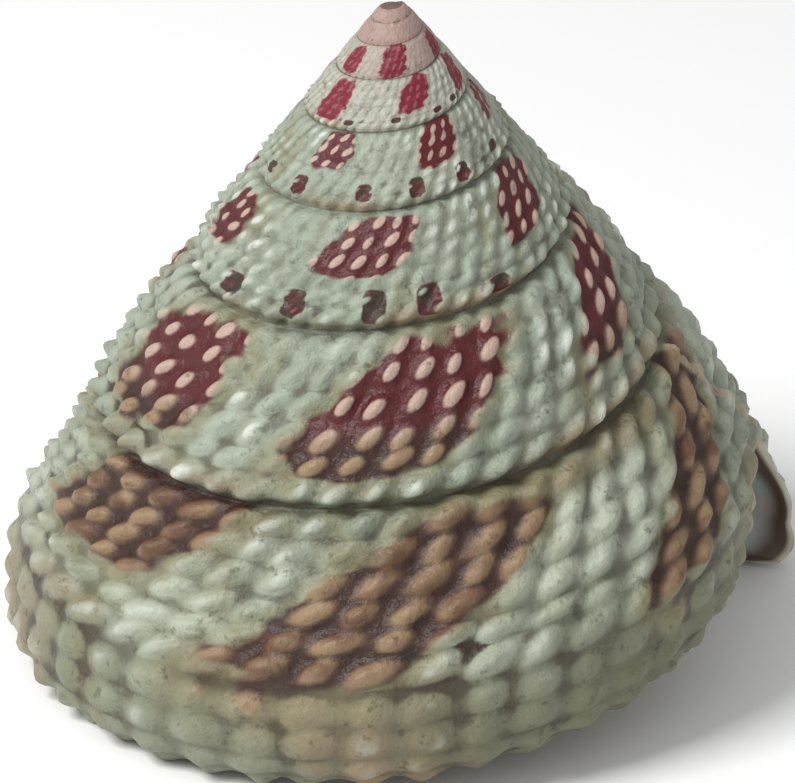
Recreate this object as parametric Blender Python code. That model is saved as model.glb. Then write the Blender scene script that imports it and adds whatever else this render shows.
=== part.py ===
"""Radiate top shell: one hollow shell, coiled clockwise seen from its tip, with beads along every whorl.

The shell stands on its base, tip up. A turn is counted backwards from the lip, which is turn 0; the turns
before it are negative. The first side of a whorl runs from its suture, side 0, to the next suture or the
shell's edge, side 1. The last whorl goes on over the edge and the base to the middle, side 2.
"""

import math

import bmesh
import bpy
import numpy as np
from mathutils import Matrix

MM = 0.001

# The coil, measured from where the cone's sides would meet, along the axis, in millimetres
GROWTH = 1.515                  # how much wider each whorl is than the one before
SPIRE_HALF_ANGLE = math.radians(33.4)
SUTURE_RADIUS = 17.05           # that the suture would reach at the lip if it kept growing evenly
LIP_ANGLE = math.radians(104)   # round from the front
LATE_TURN = 0.46                # the last stretch, where the suture grows more slowly
LATE_NARROWING = 0.383
LATE_SHALLOWING = 0.2115

# The worn tip
TIP_TURN = -7.0                 # where it begins
TIP_HEIGHT = 0.75               # how far it bulges, as a share of its radius
TIP_NARROWING = 0.20
TIP_REACH = 3.0                 # the radius by which the narrowing has faded
WORN_DEPTH = 0.85
WORN_SHARPNESS = 4
TIP_SHIFT = 0.12                # the tip stands a little to the right of the axis
TIP_SHIFT_DEPTH = 5.0

# The last whorl, as (start, slope, curve) over its one turn
EDGE_RADIUS = (15.66, 6.68, -3.40)
EDGE_DEPTH = (24.70, 3.40, 4.20)
BASE_DEPTH = (28.20, 12.90, -6.30)
WALL_BULGE = (-0.45, 3.40, -2.35)
BASE_ROUNDING = 2.7
MIDDLE_DEPTH = 31.0
MIDDLE_REACH = 0.85             # share of the edge radius over which the base rises to its middle

# The sides bulge, as a share of the whorl's radius, but for a stretch at the left, where they are dished
SIDE_BULGE = 0.034
SIDE_DISH = 0.014
DISHED_STRETCH = (-0.95, -0.55, -0.35, 0.0)     # turns where it begins, is full, ends being full and ends

# The lip is upright on the side and slants back over the base
LIP_SLANT = 0.20                # turns by which it lags behind at the middle of the base
LIP_SLANT_TURNS = 0.45
LIP_BEND = 1.15
LIP_BEND_SHARPNESS = 1.2
LIP_FADE = 0.012                # turns over which the beads sink into the lip

# Beads, whose heights are shares of the whorl's radius
BEADS = 42
SPIRE_ROWS = (0.10, 0.25, 0.42, 0.59, 0.735, 0.90)
BODY_ROWS = (0.11, 0.265, 0.42, 0.585, 0.745, 0.90)
ROW_WIDTHS = (0.072, 0.078, 0.085, 0.080, 0.062, 0.090)
SPIRE_ROW_HEIGHTS = (0.018, 0.027, 0.032, 0.030, 0.020, 0.044)
BODY_ROW_HEIGHTS = (0.032, 0.028, 0.032, 0.031, 0.026, 0.029)
BODY_BEGINS = (-1.25, -0.90)    # turns between which the spire's rows pass into the last whorl's
WALL_ROWS = (1.045, 1.115, 1.185, 1.26)
WALL_ROW_WIDTH = 0.036
WALL_ROW_HEIGHT = 0.028
BASE_CORDS = (1.335, 1.41, 1.485, 1.56, 1.635, 1.71)
BASE_CORD_WIDTH = 0.039
BASE_CORD_HEIGHT = 0.016
CORD_SHARE = 0.22               # how much of a bead's height the cord between two beads keeps
BASE_CORD_SHARE = 0.6
BEAD_LEAN = 2                   # whole beads by which a column runs ahead from suture to edge
BEAD_FULLNESS = 0.75            # under 1 rounds the beads' tops
FIRST_BEADS = (-4.6, -3.2)      # beads grow to their full height between these turns
FIRST_BEAD_SHARE = 0.25
GROOVE_DEPTH = 0.024
GROOVE_WIDTH = 0.045
MIDDLE_FADE = 0.1               # stretch of side over which the cords end before the base's middle

# The mesh, before its flat stretches are thinned out
BEAD_STEPS = 2
STEPS = BEADS * BEAD_STEPS
KNOB_FOOT = 0.965
MIDDLE_SIDES = (1.80, 1.86, 1.93, 2.0)
PROFILE_STEP = 0.004
TINY = 1e-9
THINNING = 0.466

# The hollow inside
HOLLOW_TURNS = (-1.30, 0.14)
HOLLOW_STEPS = 44
HOLLOW_SIDES = 18
HOLLOW_CENTRE_RADIUS = 0.63     # as a share of the edge's radius
HOLLOW_CENTRE_HEIGHT = 3.6      # over the base
HOLLOW_SIZE = (5.6, 2.55)       # half its width and half its height at the lip
HOLLOW_TAPER = 0.25             # how much lower the hollow is towards the axis than at the rim
HOLLOW_TILT = math.radians(-6)
HOLLOW_ROUND_END = 0.22         # turns over which its inner end closes
HOLLOW_END_SHARE = 0.01         # what is left of its section there, squared

# How the shell leans to stand on its base, in degrees about X and about Y
LEAN = (5.75, -1.6)
RUBBED = 0.20                   # height by which the rim is rubbed flat where the shell stands
GROUND_SIZE = (60, 60, 6)


def over_last_turn(terms, turn):
    """A quadratic in the share of the last turn that has passed."""
    share = np.clip(turn + 1, 0, 1)
    return terms[0] + terms[1] * share + terms[2] * share * share


def between(value, ends):
    """0 before the first end, 1 after the second and a straight rise between."""
    return np.clip((value - ends[0]) / (ends[1] - ends[0]), 0, 1)


def suture(turn):
    """Radius and depth of the suture, with the tip worn down."""
    late = np.maximum(turn + LATE_TURN, 0.0) ** 2
    radius = SUTURE_RADIUS * GROWTH ** turn
    depth = radius / math.tan(SPIRE_HALF_ANGLE)
    radius = radius - TIP_NARROWING * np.exp(-(radius / TIP_REACH) ** 2)
    depth = (depth ** WORN_SHARPNESS + WORN_DEPTH ** WORN_SHARPNESS) ** (1 / WORN_SHARPNESS)
    return radius * (1 - LATE_NARROWING * late), depth * (1 - LATE_SHALLOWING * late)


def side_end(turn):
    """Radius and depth of side 1: the next suture, or the top of the last whorl's wall."""
    radius, depth = suture(turn + 1)
    last = turn > -1
    return (np.where(last, over_last_turn(EDGE_RADIUS, turn), radius),
            np.where(last, over_last_turn(EDGE_DEPTH, turn), depth))


def ramp(distance, width):
    """Zero, then a straight rise, with a rounded corner of the given half-width at zero."""
    return np.where(distance < -width, 0.0,
                    np.where(distance > width, distance, (distance + width) ** 2 / (4 * width)))


def side_fullness(turn):
    """How far a whorl's side bulges, as a share of its radius. Below zero it is dished."""
    dished = between(turn, DISHED_STRETCH[:2]) * (1 - between(turn, DISHED_STRETCH[2:]))
    return SIDE_BULGE - (SIDE_BULGE + SIDE_DISH) * dished


def bare_profile(turn, side):
    """Radius and depth without beads: bulging side, then wall, rounded corner and base."""
    top_radius, top_depth = suture(turn)
    end_radius, end_depth = side_end(turn)
    on_side = np.clip(side, 0, 1)
    radius = top_radius + (end_radius - top_radius) * on_side
    radius = radius + side_fullness(turn) * end_radius * (1 - (2 * on_side - 1) ** 4)
    depth = top_depth + (end_depth - top_depth) * on_side
    wall = over_last_turn(BASE_DEPTH, turn) - end_depth
    run = np.clip(side - 1, 0, 1) * (wall + end_radius)
    inward = ramp(run - wall, BASE_ROUNDING)
    down_wall = np.clip(run / (wall + BASE_ROUNDING), 0, 1)
    radius = radius - inward + over_last_turn(WALL_BULGE, turn) * np.sin(math.pi * down_wall)
    depth = depth + (run - inward)
    near = np.clip(radius / (MIDDLE_REACH * end_radius), 0, 1)
    near = near * near * (3 - 2 * near)
    return radius, np.where(side > 1, MIDDLE_DEPTH + (depth - MIDDLE_DEPTH) * near, depth)


def lean_of(side):
    """Turns by which a column of beads has run ahead."""
    return BEAD_LEAN / BEADS * np.clip(side, 0, 1)


def angle_of(turn, side):
    """Direction round the axis, in radians: one full circle a turn, held back near the lip."""
    late = np.clip(1 + turn / LIP_SLANT_TURNS, 0, 1)
    slant = LIP_SLANT * between(side, (LIP_BEND, 2)) ** LIP_BEND_SHARPNESS
    return LIP_ANGLE - 2 * math.pi * (turn - (lean_of(side) + slant) * late * late)


def bump(distance, width):
    """A round hill of height 1 that ends at the given distance."""
    return np.clip(1 - (distance / width) ** 2, 0, None) ** BEAD_FULLNESS


def relief(turn, side):
    """Height of beads, cords and the suture's groove, as a share of the whorl's radius."""
    count = BEADS * (turn - lean_of(side))
    wave = 0.5 + 0.5 * np.cos(2 * math.pi * count)
    beads = CORD_SHARE + (1 - CORD_SHARE) * wave
    cords = BASE_CORD_SHARE + (1 - BASE_CORD_SHARE) * wave
    body = between(turn, BODY_BEGINS)
    height = np.zeros(np.broadcast(turn, side).shape)
    rows = zip(SPIRE_ROWS, BODY_ROWS, ROW_WIDTHS, SPIRE_ROW_HEIGHTS, BODY_ROW_HEIGHTS)
    for spire_place, body_place, width, spire_height, body_height in rows:
        place = spire_place + (body_place - spire_place) * body
        tall = spire_height + (body_height - spire_height) * body
        height += tall * bump(side - place, width) * beads
    for place in WALL_ROWS:
        height += WALL_ROW_HEIGHT * bump(side - place, WALL_ROW_WIDTH) * beads
    for place in BASE_CORDS:
        height += BASE_CORD_HEIGHT * bump(side - place, BASE_CORD_WIDTH) * cords
    height = height * (FIRST_BEAD_SHARE + (1 - FIRST_BEAD_SHARE) * between(turn, FIRST_BEADS))
    groove = np.exp(-(side / GROOVE_WIDTH) ** 2)
    groove = groove + np.exp(-((side - 1) / GROOVE_WIDTH) ** 2) * (side <= 1) * (turn <= -1)
    return height - GROOVE_DEPTH * groove


def profile(turn, side):
    """Radius and depth with beads, which stand square to the bare profile."""
    radius, depth = bare_profile(turn, side)
    before_radius, before_depth = bare_profile(turn, side - PROFILE_STEP)
    after_radius, after_depth = bare_profile(turn, side + PROFILE_STEP)
    along_radius, along_depth = after_radius - before_radius, after_depth - before_depth
    length = np.hypot(along_radius, along_depth) + TINY
    size = np.where(turn > -1, over_last_turn(EDGE_RADIUS, turn), suture(turn + 1)[0])
    fade = np.clip((2 - side) / MIDDLE_FADE, 0, 1) * np.clip((lean_of(side) - turn) / LIP_FADE, 0, 1)
    lift = relief(turn, side) * size * fade
    return radius + along_depth / length * lift, depth - along_radius / length * lift


def placed(radius, depth, angle):
    """Points in metres. The angle starts at the front, which faces -Y, and turns towards +X."""
    shift = TIP_SHIFT * np.exp(-(depth / TIP_SHIFT_DEPTH) ** 2)
    return np.stack([radius * np.sin(angle) + shift, -radius * np.cos(angle), -depth], axis=-1) * MM


def zipped(one, other):
    """Triangles between two rows of points that start and end together."""
    faces = []
    i = j = 0
    while i < len(one) - 1 or j < len(other) - 1:
        if j == len(other) - 1 or (i < len(one) - 1 and (i + 1) / len(one) <= (j + 1) / len(other)):
            faces.append((one[i], other[j], one[i + 1]))
            i += 1
        else:
            faces.append((one[i], other[j], other[j + 1]))
            j += 1
    return [face for face in faces if len(set(face)) == 3]


def with_valleys(rows):
    """The rows, and the line halfway between each two."""
    rows = np.array(rows)
    return np.insert(rows, np.arange(1, len(rows)), (rows[1:] + rows[:-1]) / 2)


def side_places(turn):
    """Sides at which the first side of a whorl has its points: each row of beads and each valley."""
    spire = np.concatenate([[0], with_valleys(SPIRE_ROWS), [KNOB_FOOT, 1]])
    body = np.concatenate([[0], with_valleys(BODY_ROWS), [KNOB_FOOT, 1]])
    return spire + (body - spire) * between(turn[:, None], BODY_BEGINS)


def outer_mesh():
    """The closed outer form: one strip from the tip to the lip, sewn to itself along the suture."""
    steps = round(-TIP_TURN * STEPS)
    lean_steps = BEAD_LEAN * BEAD_STEPS
    starts = np.arange(-steps, 1) / STEPS
    spire_rows = steps - STEPS - lean_steps
    side = side_places(starts)
    side_columns = side.shape[1] - 1
    base = np.concatenate([[1], with_valleys(WALL_ROWS + BASE_CORDS), MIDDLE_SIDES])
    base_columns = len(base) - 1
    turn = starts[:, None] + lean_of(side)
    first = placed(*profile(turn, side), angle_of(turn, side))[:, :-1].reshape(-1, 3)
    index = np.full((steps + 1, side_columns + base_columns + 1), -1)
    index[:, :side_columns] = np.arange(len(first)).reshape(-1, side_columns)
    # Side 1 of a whorl is side 0 of the next, one turn and the beads' lean later.
    index[:spire_rows + 1, side_columns] = index[STEPS + lean_steps:, 0]
    turn, side = np.meshgrid(starts[spire_rows:] + BEAD_LEAN / BEADS, base[:-1], indexing="ij")
    second = placed(*profile(turn, side), angle_of(turn, side)).reshape(-1, 3)
    index[spire_rows:, side_columns:-1] = len(first) + np.arange(len(second)).reshape(turn.shape)
    index[spire_rows, side_columns] = index[-1, 0]
    middle = len(first) + len(second)
    index[spire_rows:, -1] = middle
    tip = middle + 1
    radius, depth = suture(starts[0] + 0.5)
    ends = placed(np.zeros(2), np.array([MIDDLE_DEPTH, depth - TIP_HEIGHT * radius]), np.zeros(2))
    points = np.concatenate([first, second, ends])
    faces = []
    for row in range(steps):
        columns = side_columns if row < spire_rows else side_columns + base_columns
        for column in range(columns):
            corners = [index[row, column], index[row, column + 1],
                       index[row + 1, column + 1], index[row + 1, column]]
            kept = list(dict.fromkeys(int(corner) for corner in corners))
            if len(kept) > 2:
                faces.append(kept)
    # The tip closes over the first turn's suture and the start of the strip.
    ring = [int(i) for i in index[:STEPS + lean_steps + 1, 0]]
    ring += [int(i) for i in index[0, side_columns - 1:0:-1]]
    for corner, after in zip(ring, ring[1:] + ring[:1]):
        faces.append((tip, corner, after))
    lip = [int(i) for i in index[-1, :]]
    inner = [int(i) for i in index[spire_rows, side_columns:]]
    faces += zipped(lip, inner)
    mesh = bmesh.new()
    corners = [mesh.verts.new(point) for point in points]
    for face in faces:
        mesh.faces.new([corners[i] for i in face])
    bmesh.ops.recalc_face_normals(mesh, faces=mesh.faces)
    return mesh


def hollow_mesh():
    """The space inside: a tube along the coil, closed at both ends, that runs out past the lip."""
    turns = np.linspace(*HOLLOW_TURNS, HOLLOW_STEPS)
    around = np.linspace(0, 2 * math.pi, HOLLOW_SIDES, endpoint=False)
    turn, place = np.meshgrid(turns, around, indexing="ij")
    whorl = GROWTH ** np.minimum(turn, 0)
    before = 1 - between(turn, (HOLLOW_TURNS[0], HOLLOW_TURNS[0] + HOLLOW_ROUND_END))
    scale = whorl * np.sqrt(np.clip(1 - before ** 2, HOLLOW_END_SHARE, 1))
    wide = HOLLOW_SIZE[0] * scale * np.cos(place)
    tall = HOLLOW_SIZE[1] * scale * np.sin(place) * (1 - HOLLOW_TAPER + HOLLOW_TAPER * np.cos(place))
    last = turn > -1
    edge = np.where(last, over_last_turn(EDGE_RADIUS, turn), EDGE_RADIUS[0] * GROWTH ** (turn + 1))
    low = np.where(last, over_last_turn(BASE_DEPTH, turn), BASE_DEPTH[0] * GROWTH ** (turn + 1))
    radius = HOLLOW_CENTRE_RADIUS * edge + wide * math.cos(HOLLOW_TILT) - tall * math.sin(HOLLOW_TILT)
    depth = low - HOLLOW_CENTRE_HEIGHT * whorl
    depth = depth - wide * math.sin(HOLLOW_TILT) - tall * math.cos(HOLLOW_TILT)
    points = placed(radius, depth, LIP_ANGLE - 2 * math.pi * turn)
    mesh = bmesh.new()
    rings = [[mesh.verts.new(point) for point in ring] for ring in points]
    for ring, after in zip(rings, rings[1:]):
        for side in range(HOLLOW_SIDES):
            other = (side + 1) % HOLLOW_SIDES
            mesh.faces.new([ring[side], ring[other], after[other], after[side]])
    mesh.faces.new(rings[0])
    mesh.faces.new(rings[-1])
    bmesh.ops.recalc_face_normals(mesh, faces=mesh.faces)
    return mesh


def ground_mesh():
    """A slab whose top is at height 0."""
    mesh = bmesh.new()
    size = [length * MM for length in GROUND_SIZE]
    bmesh.ops.create_cube(mesh, size=1, matrix=Matrix.Translation((0, 0, -size[2] / 2)) @ Matrix.Diagonal((*size, 1)))
    return mesh


def add_object(name, mesh, collection):
    data = bpy.data.meshes.new(name)
    mesh.to_mesh(data)
    mesh.free()
    thing = bpy.data.objects.new(name, data)
    collection.objects.link(thing)
    return thing


def new_collection(name):
    collection = bpy.data.collections.new(name)
    bpy.context.scene.collection.children.link(collection)
    return collection


def cut_away(thing, cutter, name):
    cut = thing.modifiers.new(name, "BOOLEAN")
    cut.operation = "DIFFERENCE"
    cut.solver = "EXACT"
    cut.object = cutter


def shell_material():
    material = bpy.data.materials.new("Beaded shell")
    material.use_nodes = True
    shader = material.node_tree.nodes["Principled BSDF"]
    shader.inputs["Base Color"].default_value = (0.48, 0.54, 0.45, 1)
    shader.inputs["Roughness"].default_value = 0.45
    shader.inputs["Metallic"].default_value = 0.0
    return material


def main():
    for old in list(bpy.data.objects):
        bpy.data.objects.remove(old, do_unlink=True)
    parts = new_collection("Radiate top shell")
    cutters = new_collection("Cutters")
    shell = add_object("shell", outer_mesh(), parts)
    hollow = add_object("hollow", hollow_mesh(), cutters)
    ground = add_object("ground", ground_mesh(), cutters)
    for cutter in (hollow, ground):
        cutter.hide_render = True
        cutter.display_type = "WIRE"
    lean = Matrix.Rotation(math.radians(LEAN[0]), 4, "X") @ Matrix.Rotation(math.radians(LEAN[1]), 4, "Y")
    for thing in (shell, hollow):
        thing.data.transform(lean)
    shell.data.materials.append(shell_material())
    shell.data.shade_smooth()
    cut_away(shell, hollow, "Hollow")
    thin = shell.modifiers.new("Thin out", "DECIMATE")
    thin.ratio = THINNING
    # The form is centred over the origin, and its lowest stretch of rim is rubbed down to the ground.
    finished = shell.evaluated_get(bpy.context.evaluated_depsgraph_get()).data
    points = np.array([vertex.co for vertex in finished.vertices])
    low, high = points.min(axis=0), points.max(axis=0)
    for thing in (shell, hollow):
        thing.location = (-(low[0] + high[0]) / 2, -(low[1] + high[1]) / 2, -low[2] - RUBBED * MM)
    cut_away(shell, ground, "Rubbed flat")


main()
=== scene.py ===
# %% [markdown]
# # A radiate top shell
# The real thing is one piece: a thick cone of lime that a sea snail winds round its own axis.
# Each whorl carries rows of beads, and crimson to brown flames run across the whorls.
# The CAD shell gives the true size, the coil and the way it stands. Here the same coil is built
# again with rounder beads, and it gets its colours and its pearly mouth.

# %% Load the measured shell
import math

import bpy
import numpy as np
from mathutils import Matrix, Vector


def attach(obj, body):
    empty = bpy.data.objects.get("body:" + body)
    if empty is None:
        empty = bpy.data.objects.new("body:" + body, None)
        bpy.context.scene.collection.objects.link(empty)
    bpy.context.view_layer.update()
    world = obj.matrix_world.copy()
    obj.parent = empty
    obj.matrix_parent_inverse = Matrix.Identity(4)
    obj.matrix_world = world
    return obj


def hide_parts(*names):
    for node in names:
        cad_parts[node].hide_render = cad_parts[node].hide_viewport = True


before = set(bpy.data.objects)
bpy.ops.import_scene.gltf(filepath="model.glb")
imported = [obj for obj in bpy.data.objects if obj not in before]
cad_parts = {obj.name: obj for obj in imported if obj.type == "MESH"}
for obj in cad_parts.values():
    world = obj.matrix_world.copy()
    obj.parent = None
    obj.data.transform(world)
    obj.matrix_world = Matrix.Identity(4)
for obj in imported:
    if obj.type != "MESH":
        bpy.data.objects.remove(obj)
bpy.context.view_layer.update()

# %% [markdown]
# ## The coil
# A turn is counted backwards from the lip, which is turn 0. Side 0 of a whorl is its suture and side 1
# the next suture, or the shell's edge on the last whorl, which goes on over the base to side 2, its middle.
# A Screw modifier could wind a profile round the axis, but its turns neither grow nor close on each
# other. So every point is worked out from its turn and side, by the measured shell's own formulas.
# Sizes are in millimetres, and depths go down from where the cone's sides would meet.

# %% The suture
MM = 0.001
GROWTH = 1.515                  # how many times wider each turn is than the one before
SPIRE_HALF_ANGLE = math.radians(33.4)
SUTURE_RADIUS = 17.05
WORN_DEPTH = 0.85
WORN_SHARPNESS = 4
TIP_NARROWING = 0.20
TIP_REACH = 3.0
LATE_TURN = 0.46                # the last part of a turn, over which the suture is eased
LATE_NARROWING = 0.383
LATE_SHALLOWING = 0.2115


def suture(turn):
    """Radius and depth of the suture: an exponential of the turn, eased over the last half turn.

    The tip is worn away, so no depth is smaller than a least one, and the two are joined by a power mean.
    """
    late = np.maximum(turn + LATE_TURN, 0.0) ** 2
    radius = SUTURE_RADIUS * GROWTH ** turn
    depth = radius / math.tan(SPIRE_HALF_ANGLE)
    radius = radius - TIP_NARROWING * np.exp(-(radius / TIP_REACH) ** 2)
    depth = (depth ** WORN_SHARPNESS + WORN_DEPTH ** WORN_SHARPNESS) ** (1 / WORN_SHARPNESS)
    return radius * (1 - LATE_NARROWING * late), depth * (1 - LATE_SHALLOWING * late)


print("suture at the lip, mm from the axis and down:", [round(float(size), 2) for size in suture(0.0)])

# %% [markdown]
# ### The edge
# On the last whorl there is no next suture. Its side ends at the shell's edge, which widens and sinks
# by a quadratic over the last turn. Each group of three numbers holds the terms of such a quadratic.

# %% The edge
EDGE_RADIUS = (15.66, 6.68, -3.40)
EDGE_DEPTH = (24.70, 3.40, 4.20)


def over_last_turn(terms, turn):
    """A quadratic in the share of the last turn that has passed."""
    share = np.clip(turn + 1, 0, 1)
    return terms[0] + terms[1] * share + terms[2] * share * share


def side_end(turn):
    """Radius and depth of side 1: the suture a turn later, or the edge."""
    radius, depth = suture(turn + 1)
    last = turn > -1
    return (np.where(last, over_last_turn(EDGE_RADIUS, turn), radius),
            np.where(last, over_last_turn(EDGE_DEPTH, turn), depth))


print("edge at the lip, mm from the axis and down:", [round(float(size), 2) for size in side_end(0.0)])

# %% [markdown]
# ### The bare form
# The sides bulge a little, but for a dished stretch at the left. The last side ends at a short wall,
# and a rounded corner leads from it to the flat base.

# %% The bare form
SIDE_BULGE = 0.034
SIDE_DISH = 0.014
SIDE_FLATNESS = 4
DISHED_STRETCH = (-0.95, -0.55, -0.35, 0.0)
BASE_DEPTH = (28.20, 12.90, -6.30)
BASE_ROUNDING = 2.7
WALL_BULGE = (-0.45, 3.40, -2.35)
MIDDLE_DEPTH = 31.0
MIDDLE_REACH = 0.85


def between(value, ends):
    """0 before the first end, 1 after the second and a straight rise between."""
    return np.clip((value - ends[0]) / (ends[1] - ends[0]), 0, 1)


def ramp(distance, width):
    """Zero, then a straight rise, joined by a parabola over twice the width."""
    return np.where(distance < -width, 0.0,
                    np.where(distance > width, distance, (distance + width) ** 2 / (4 * width)))


def side_fullness(turn):
    """How far a whorl's side bulges, as a share of its radius. Below zero it is dished."""
    dished = between(turn, DISHED_STRETCH[:2]) * (1 - between(turn, DISHED_STRETCH[2:]))
    return SIDE_BULGE - (SIDE_BULGE + SIDE_DISH) * dished


def bare_profile(turn, side):
    """Radius and depth without beads: bulging side, then wall, rounded corner and base."""
    top_radius, top_depth = suture(turn)
    end_radius, end_depth = side_end(turn)
    on_side = np.clip(side, 0, 1)
    radius = top_radius + (end_radius - top_radius) * on_side
    depth = top_depth + (end_depth - top_depth) * on_side
    wall = over_last_turn(BASE_DEPTH, turn) - end_depth
    run = np.clip(side - 1, 0, 1) * (wall + end_radius)
    inward = ramp(run - wall, BASE_ROUNDING)
    bulge = over_last_turn(WALL_BULGE, turn) * np.sin(math.pi * np.clip(run / (wall + BASE_ROUNDING), 0, 1))
    full = side_fullness(turn) * end_radius * (1 - (2 * on_side - 1) ** SIDE_FLATNESS)
    radius = radius - inward + bulge + full
    depth = depth + (run - inward)
    near = np.clip(radius / (MIDDLE_REACH * end_radius), 0, 1)
    near = near * near * (3 - 2 * near)
    return radius, np.where(side > 1, MIDDLE_DEPTH + (depth - MIDDLE_DEPTH) * near, depth)


print("base at the lip, mm down:", round(float(over_last_turn(BASE_DEPTH, 0.0)), 2))

# %% [markdown]
# ### Where a point stands
# The columns of beads slant, so a point's direction round the axis is its turn less the slant. The lip
# is upright on the side and slants back below. The whole shell then leans as it does on its own base,
# and the rim is rubbed flat where it stands.

# %% Where a point stands
BEADS = 42
BEAD_LEAN = 2                   # beads by which a column runs ahead from one suture to the next
LIP_ANGLE = math.radians(104.0)
LIP_SLANT = 0.20
LIP_SLANT_TURNS = 0.45
LIP_BEND = (1.15, 2)            # sides between which the lip slants back
LIP_BEND_POWER = 1.2
TIP_SHIFT = 0.12
TIP_SHIFT_DEPTH = 5.0
LEAN = (5.75, -1.6)
STAND = (Matrix.Translation(Vector((-0.5027, -4.0203, 33.7859)) * MM)
         @ Matrix.Rotation(math.radians(LEAN[0]), 4, "X") @ Matrix.Rotation(math.radians(LEAN[1]), 4, "Y"))


def lean_of(side):
    """Turns by which a column of beads has run ahead."""
    return BEAD_LEAN / BEADS * np.clip(side, 0, 1)


def angle_of(turn, side):
    """Direction round the axis: one full circle a turn, less the slants, which fade in towards the lip."""
    late = np.clip(1 + turn / LIP_SLANT_TURNS, 0, 1)
    slant = LIP_SLANT * between(side, LIP_BEND) ** LIP_BEND_POWER
    return LIP_ANGLE - 2 * math.pi * (turn - (lean_of(side) + slant) * late * late)


def placed(radius, depth, angle):
    """Points in metres where the shell stands, on a rim rubbed flat. The angle starts at the front, -Y."""
    shift = TIP_SHIFT * np.exp(-(depth / TIP_SHIFT_DEPTH) ** 2)
    points = np.stack([radius * np.sin(angle) + shift, -radius * np.cos(angle), -depth], axis=-1) * MM
    points = points @ np.array(STAND.to_3x3()).T + np.array(STAND.translation)
    points[..., 2] = np.maximum(points[..., 2], 0)
    return points


print("the cone's point, above the worn tip, is at", [round(value, 4) for value in STAND.translation])

# %% [markdown]
# ## The beads
# A snail adds a bead to every row at each step of growth, so the beads stand in slanting columns.
# They could be small copies scattered on the shell or a displacement picture. A sum of hills in turns
# and sides is chosen because its rows follow the growth, and no join shows between bead and shell.
# Real beads are never alike, so each one's height and place wander a little, by sums of sines of
# its number and its row.

# %% What wanders
WANDER_WAVES = ((1.93, 2.7, 1.0), (0.71, -1.3, 2.1), (3.37, 4.1, -1.0))      # by count, row and seed
BEAD_SHARPNESS = 1.25
BEAD_SHIFT = 0.17               # how far a bead wanders along its row, in bead spacings
MERGING = 0.14                  # how far neighbours in a row may grow together
UNEVENNESS = 0.24
SLOW = 0.2                      # what changes over five beads, not from bead to bead
SEEDS = {"along": 0.4, "merging": 2.2, "size": 1.7, "across": 3.1, "width": 7.3, "wall": 5.2, "lumps": 0.9}


def wander(count, row, seed):
    """A number from -1 to 1 that changes from bead to bead and from row to row: the mean of three sines."""
    waves = [np.sin(count * by_count + row * by_row + SEEDS[seed] * by_seed)
             for by_count, by_row, by_seed in WANDER_WAVES]
    return sum(waves) / len(waves)


def hill(distance, width):
    """A round hill of height 1: a raised cosine that ends at the given distance."""
    return 0.5 + 0.5 * np.cos(math.pi * np.clip(distance / width, -1, 1))


def bead_row(count, row, cord):
    """One row along the coil: a raised cosine of the bead count that never falls below the cord.

    The second value is each bead's own size, near 1.
    """
    count = count + BEAD_SHIFT * wander(count, row, "along")
    wave = (0.5 + 0.5 * np.cos(2 * math.pi * count)) ** BEAD_SHARPNESS
    cord = cord + MERGING * (0.5 + 0.5 * wander(count * SLOW, row, "merging"))
    return cord + (1 - cord) * wave, 1 + UNEVENNESS * wander(np.round(count), row, "size")


# %% [markdown]
# ### Rows on the side, the wall and the base
# Six rows run between two sutures, four go round the wall below the edge, and the base has flat cords.
# On the early whorls the rows are faint, and the upper ones come up last. A bead leans a little more
# than its column does. Heights are shares of the whorl's radius, and places are sides.

# %% Rows of beads
SPIRE_ROWS = (0.10, 0.25, 0.42, 0.59, 0.735, 0.90)
BODY_ROWS = (0.11, 0.265, 0.42, 0.585, 0.745, 0.90)
BODY_BLEND = (-1.25, -0.90)     # turns over which the spire's rows change to the last whorl's
ROW_WIDTHS = (0.098, 0.100, 0.106, 0.100, 0.084, 0.112)
ROW_WIDENING = 1.14
WIDTH_WANDER = 0.18
ROW_SHIFT = 0.022               # how far a bead wanders across its row
ROW_HEIGHTS = (0.022, 0.032, 0.040, 0.040, 0.032, 0.052)
BODY_ROW_HEIGHTS = (0.040, 0.036, 0.040, 0.040, 0.036, 0.036)
ROWS_BEGIN = (-3.4, -3.3, -3.5, -3.9, -4.5, -5.2)
ROWS_FADE_IN = 1.4
FAINT = 0.10                    # what there is of a row before it begins
CORD_SHARE = 0.08
BEAD_TILT = 0.9
WALL_ROWS = (1.045, 1.115, 1.185, 1.26)
WALL_ROW_WIDTH = 0.046
WALL_ROW_HEIGHT = 0.027
WALL_ROW_SHIFT = 0.006
BASE_CORDS = (1.335, 1.41, 1.485, 1.56, 1.635, 1.71)
BASE_CORD_WIDTH = 0.044
BASE_CORD_HEIGHT = 0.013
BASE_CORD_SHARE = 0.6


def rows_on_side(turn, side, column):
    """Each row's height, and its bead from 0 to 1: a hill across the row times the wave along it."""
    body = between(turn, BODY_BLEND)
    for row, (spire, last, width) in enumerate(zip(SPIRE_ROWS, BODY_ROWS, ROW_WIDTHS)):
        begun = FAINT + (1 - FAINT) * np.clip((turn - ROWS_BEGIN[row]) / ROWS_FADE_IN, 0, 1)
        off = side - spire - (last - spire) * body - ROW_SHIFT * wander(column, row, "across")
        width = width * (ROW_WIDENING + WIDTH_WANDER * wander(column * SLOW, row, "width"))
        wave, size = bead_row(column - BEAD_TILT * off, row, CORD_SHARE)
        tall = ROW_HEIGHTS[row] + (BODY_ROW_HEIGHTS[row] - ROW_HEIGHTS[row]) * body
        yield tall * begun * size, hill(off, width) * wave


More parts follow.
